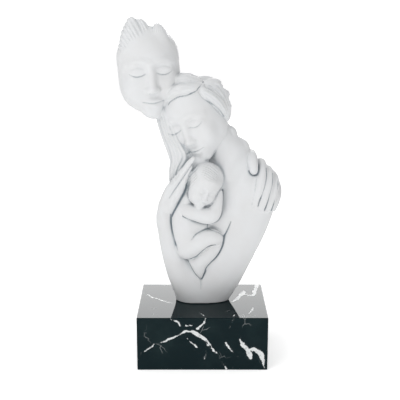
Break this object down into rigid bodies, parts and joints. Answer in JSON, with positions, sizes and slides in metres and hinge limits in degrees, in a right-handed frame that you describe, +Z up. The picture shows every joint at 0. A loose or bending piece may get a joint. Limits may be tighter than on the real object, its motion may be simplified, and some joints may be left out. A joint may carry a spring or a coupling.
{
  "type": "family group sculpture",
  "caption": "White cast family group of father, mother and sleeping child, carved in relief at the front and standing on a polished black marble block.",
  "frame": {"origin": "middle of the plinth's underside", "axes": "+Z up, +X to the viewer's right along the plinth's long side, and the carved front faces -Y"},
  "size_m": [0.1497, 0.092, 0.3174],
  "materials": {
    "white_casting": "matte",
    "black_marble": "polished"
  },
  "bodies": {
    "root": {"family_group": "white_casting", "marble_plinth": "black_marble"}
  },
  "joints": []
}
